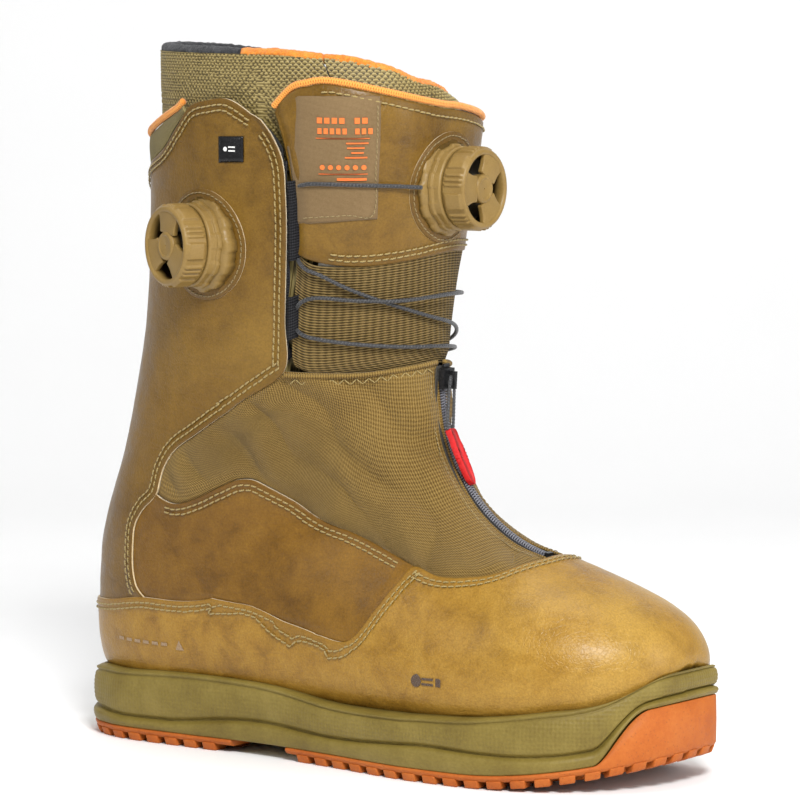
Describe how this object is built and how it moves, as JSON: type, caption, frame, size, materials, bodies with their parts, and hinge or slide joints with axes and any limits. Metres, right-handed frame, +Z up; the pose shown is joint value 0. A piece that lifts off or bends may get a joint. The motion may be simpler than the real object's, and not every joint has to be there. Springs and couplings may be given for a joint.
{
  "type": "snowboard boot",
  "caption": "Soft leather snowboard boot for the right foot, with two dial lacing systems, a zipped instep gaiter, a liner and a lugged sole.",
  "frame": {"origin": "on the ground plane under the sole's centreline, on the rearmost-middle lug of the forefoot tread, 0.147 m behind the toe", "axes": "+X towards the toe, +Y towards the inner side of the right foot, +Z up"},
  "size_m": [0.3027, 0.1335, 0.3077],
  "materials": {
    "outsole_rubber": "matte moulded rubber",
    "midsole_rubber": "matte, diamond hatched",
    "toe_leather": "waxed pull-up leather",
    "quarter_leather": "waxed pull-up leather",
    "shaft_leather": "waxed pull-up leather",
    "gaiter_fabric": "ribbed stretch canvas",
    "elastic": "ribbed elastic",
    "collar_fabric": "woven fabric",
    "piping": "twill cord",
    "patch": "woven label",
    "liner_mesh": "moulded scale mesh",
    "liner_orange": "brushed fleece",
    "liner_black": "brushed fabric",
    "lining_black": "woven lining",
    "webbing": "woven webbing",
    "lace": "braided cord",
    "dial_plastic": "moulded nylon",
    "dial_inner": "moulded nylon",
    "steel": "plated",
    "stiffener": "sheet plastic",
    "board": "fibre board",
    "foam": "foam",
    "zip_tape": "woven tape with coil",
    "pull_tab": "moulded rubber",
    "badge": "moulded badge"
  },
  "bodies": {
    "boot": {"outsole_forefoot": "outsole_rubber", "outsole_heel": "outsole_rubber", "midsole": "midsole_rubber", "heel_cushion": "foam", "shank": "stiffener", "lasting_board": "board", "toe_rand": "toe_leather", "quarter_lateral": "quarter_leather", "quarter_medial": "quarter_leather", "gaiter_lateral": "gaiter_fabric", "gaiter_medial": "gaiter_fabric", "shaft_lateral": "shaft_leather", "shaft_medial": "shaft_leather", "backstay": "shaft_leather", "collar_panel": "collar_fabric", "collar_piping": "piping", "facing_lateral": "webbing", "facing_medial": "webbing", "cuff_badge": "badge", "zip_tape_lateral": "zip_tape", "zip_tape_medial": "zip_tape", "zip_stops": "steel", "foot_lining": "lining_black", "shaft_lining": "lining_black", "heel_counter": "stiffener", "toe_puff": "stiffener", "side_dial_saddle": "dial_plastic", "side_dial_base": "dial_plastic", "side_dial_screw": "steel", "upper_lace": "lace", "harness_lateral": "webbing", "harness_medial": "webbing", "harness_lace": "lace", "liner_foot": "liner_mesh", "liner_cuff": "liner_mesh", "footbed": "foam", "liner_rim_lateral": "liner_orange", "liner_rim_medial": "liner_orange", "liner_rim_back": "liner_black"},
    "tongue": {"tongue_leather": "shaft_leather", "tongue_patch": "patch", "tongue_piping": "piping", "tongue_elastic": "elastic", "tongue_foam": "foam", "front_dial_saddle": "dial_plastic", "front_dial_base": "dial_plastic", "front_dial_screw": "steel", "liner_tongue": "liner_mesh", "liner_rim_front": "liner_orange"},
    "front_drive": {"front_dial_drive": "dial_inner"},
    "front_spool": {"front_dial_spool": "dial_inner"},
    "front_knob": {"front_dial_knob": "dial_plastic"},
    "side_drive": {"side_dial_drive": "dial_inner"},
    "side_spool": {"side_dial_spool": "dial_inner"},
    "side_knob": {"side_dial_knob": "dial_plastic"},
    "slider": {"zip_slider": "steel"},
    "zip_pull": {"zip_pull_cord": "lace", "zip_pull_tab": "pull_tab"}
  },
  "joints": [
    {"name": "tongue_open", "type": "hinge", "parent": "boot", "child": "tongue", "pos_m": [0.025, 0, 0.172], "axis": [0, 1, 0], "range_deg": [0, 18], "deforming": ["upper_lace"]},
    {"name": "front_turn", "type": "hinge", "parent": "tongue", "child": "front_drive", "pos_m": [0.0295, 0, 0.246], "axis": [1, 0, 0], "continuous": true},
    {"name": "front_spool_turn", "type": "hinge", "parent": "tongue", "child": "front_spool", "pos_m": [0.0295, 0, 0.246], "axis": [1, 0, 0], "continuous": true},
    {"name": "front_pull", "type": "slide", "parent": "front_drive", "child": "front_knob", "axis": [1, 0, 0], "range_m": [0, 0.004]},
    {"name": "side_turn", "type": "hinge", "parent": "boot", "child": "side_drive", "pos_m": [-0.06418, -0.05472, 0.22132], "axis": [-0.3584, -0.9336, 0], "continuous": true},
    {"name": "side_spool_turn", "type": "hinge", "parent": "boot", "child": "side_spool", "pos_m": [-0.06418, -0.05472, 0.22132], "axis": [-0.3584, -0.9336, 0], "continuous": true},
    {"name": "side_pull", "type": "slide", "parent": "side_drive", "child": "side_knob", "axis": [-0.3584, -0.9336, 0], "range_m": [0, 0.004]},
    {"name": "zip_travel", "type": "hinge", "parent": "boot", "child": "slider", "pos_m": [0.095, 0, 0.16], "axis": [0, -1, 0], "range_deg": [0, 76]},
    {"name": "zip_pull_swing", "type": "hinge", "parent": "slider", "child": "zip_pull", "pos_m": [0.02974, 0, 0.16433], "axis": [0, -1, 0], "range_deg": [0, 100]}
  ],
  "couplings": [
    {"joint": "front_spool_turn", "follows": "front_turn", "ratio": 1},
    {"joint": "side_spool_turn", "follows": "side_turn", "ratio": 1}
  ]
}
